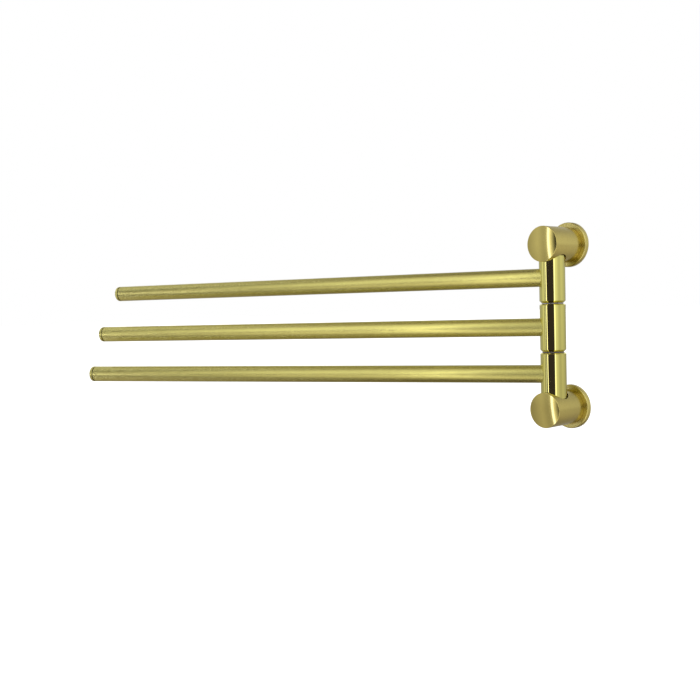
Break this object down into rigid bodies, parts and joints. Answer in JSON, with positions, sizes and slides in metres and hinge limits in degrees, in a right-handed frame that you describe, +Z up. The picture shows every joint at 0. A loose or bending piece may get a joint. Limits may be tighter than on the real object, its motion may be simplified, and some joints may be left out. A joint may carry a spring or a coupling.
{
  "type": "swing arm towel bar",
  "caption": "Wall-mounted towel holder whose round bars each swing on one upright spindle held between two posts, in brushed and polished brass.",
  "frame": {"origin": "on the wall plane, midway between the two posts and on their common vertical line, which is the centre of the four wall screws", "axes": "+Z up along the column, +Y into the wall, +X to the right for someone facing the wall; in the stored pose the bars reach towards -X"},
  "size_m": [0.3699, 0.2134, 0.1468],
  "materials": {
    "brushed_brass": "satin lacquered, very fine brushing",
    "satin_brass": "satin lacquered, faint mottling",
    "polished_brass": "polished",
    "bracket_steel": "zinc plated",
    "spindle_steel": "ground",
    "screw_steel": "plain stainless",
    "insert_steel": "turned",
    "bush_nylon": "moulded nylon"
  },
  "bodies": {
    "wall_frame": {"upper_post": "brushed_brass", "upper_flange": "brushed_brass", "upper_wall_bracket": "bracket_steel", "upper_set_screw": "screw_steel", "lower_post": "brushed_brass", "lower_flange": "brushed_brass", "lower_wall_bracket": "bracket_steel", "lower_set_screw": "screw_steel", "spindle": "spindle_steel"},
    "lower_arm": {"lower_barrel": "polished_brass", "lower_top_bush": "bush_nylon", "lower_bottom_bush": "bush_nylon", "lower_bar": "satin_brass", "lower_bar_insert": "insert_steel", "lower_bar_stud": "screw_steel", "lower_end_cap": "satin_brass"},
    "middle_arm": {"middle_barrel": "polished_brass", "middle_top_bush": "bush_nylon", "middle_bottom_bush": "bush_nylon", "middle_bar": "satin_brass", "middle_bar_insert": "insert_steel", "middle_bar_stud": "screw_steel", "middle_end_cap": "satin_brass"},
    "upper_arm": {"upper_barrel": "polished_brass", "upper_top_bush": "bush_nylon", "upper_bottom_bush": "bush_nylon", "upper_bar": "satin_brass", "upper_bar_insert": "insert_steel", "upper_bar_stud": "screw_steel", "upper_end_cap": "satin_brass"}
  },
  "joints": [
    {"name": "upper_swing", "type": "hinge", "parent": "wall_frame", "child": "upper_arm", "pos_m": [0, -0.0213, 0], "axis": [0, 0, 1], "range_deg": [-23.3, 156.7]},
    {"name": "middle_swing", "type": "hinge", "parent": "wall_frame", "child": "middle_arm", "pos_m": [0, -0.0213, 0], "axis": [0, 0, 1], "range_deg": [-26.9, 153.1]},
    {"name": "lower_swing", "type": "hinge", "parent": "wall_frame", "child": "lower_arm", "pos_m": [0, -0.0213, 0], "axis": [0, 0, 1], "range_deg": [-29.2, 150.8]}
  ]
}
